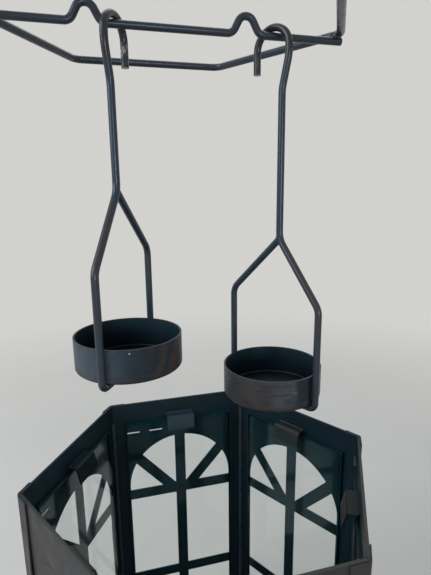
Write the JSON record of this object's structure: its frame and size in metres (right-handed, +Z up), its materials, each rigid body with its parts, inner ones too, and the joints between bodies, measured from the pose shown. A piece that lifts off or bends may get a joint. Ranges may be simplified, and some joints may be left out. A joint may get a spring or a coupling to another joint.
{
  "type": "hexagonal tealight lantern",
  "caption": "Hexagonal sheet-steel lantern with arched glazed windows, an open top and a lift-out wire hanger whose hooked holders carry tealight cups.",
  "frame": {"origin": "middle of the base's underside, on the body's axis", "axes": "+Z up along the body's axis, X through two opposite corners of the hexagon, along the hanger's bar"},
  "size_m": [0.1498, 0.1313, 0.3566],
  "materials": {
    "body_steel": "satin dark bronze paint",
    "base_steel": "satin dark bronze paint",
    "clear_glass": "clear float glass with green edges",
    "dark_wire": "satin charcoal paint on drawn wire",
    "cup_steel": "satin brown-black paint with rubbed patches"
  },
  "bodies": {
    "lantern": {"window_panel_1": "body_steel", "window_panel_2": "body_steel", "window_panel_3": "body_steel", "window_panel_4": "body_steel", "window_panel_5": "body_steel", "window_panel_6": "body_steel", "corner_strip_1": "body_steel", "corner_strip_2": "body_steel", "corner_strip_3": "body_steel", "corner_strip_4": "body_steel", "corner_strip_5": "body_steel", "corner_strip_6": "body_steel", "glass_clip_1": "body_steel", "glass_clip_2": "body_steel", "glass_clip_3": "body_steel", "glass_clip_4": "body_steel", "glass_clip_5": "body_steel", "glass_clip_6": "body_steel", "glass_pane_1": "clear_glass", "glass_pane_2": "clear_glass", "glass_pane_3": "clear_glass", "glass_pane_4": "clear_glass", "glass_pane_5": "clear_glass", "glass_pane_6": "clear_glass", "base_pan": "base_steel"},
    "hanger": {"hanger_ring": "dark_wire", "hanger_bar": "dark_wire"},
    "short_holder": {"short_holder_wire": "dark_wire", "short_candle_cup": "cup_steel"},
    "long_holder": {"long_holder_wire": "dark_wire", "long_candle_cup": "cup_steel"}
  },
  "joints": [
    {"name": "hanger_lift", "type": "slide", "parent": "lantern", "child": "hanger", "axis": [-0.0476, 0.0436, 0.9979], "range_m": [-0.17657, 0.02]},
    {"name": "short_holder_swing", "type": "hinge", "parent": "hanger", "child": "short_holder", "pos_m": [-0.02764, 0.0077, 0.34908], "axis": [1, 0, 0], "range_deg": [-10, 10]},
    {"name": "long_holder_swing", "type": "hinge", "parent": "hanger", "child": "long_holder", "pos_m": [0.03063, 0.0077, 0.34908], "axis": [1, 0, 0], "range_deg": [-3, 3]}
  ]
}
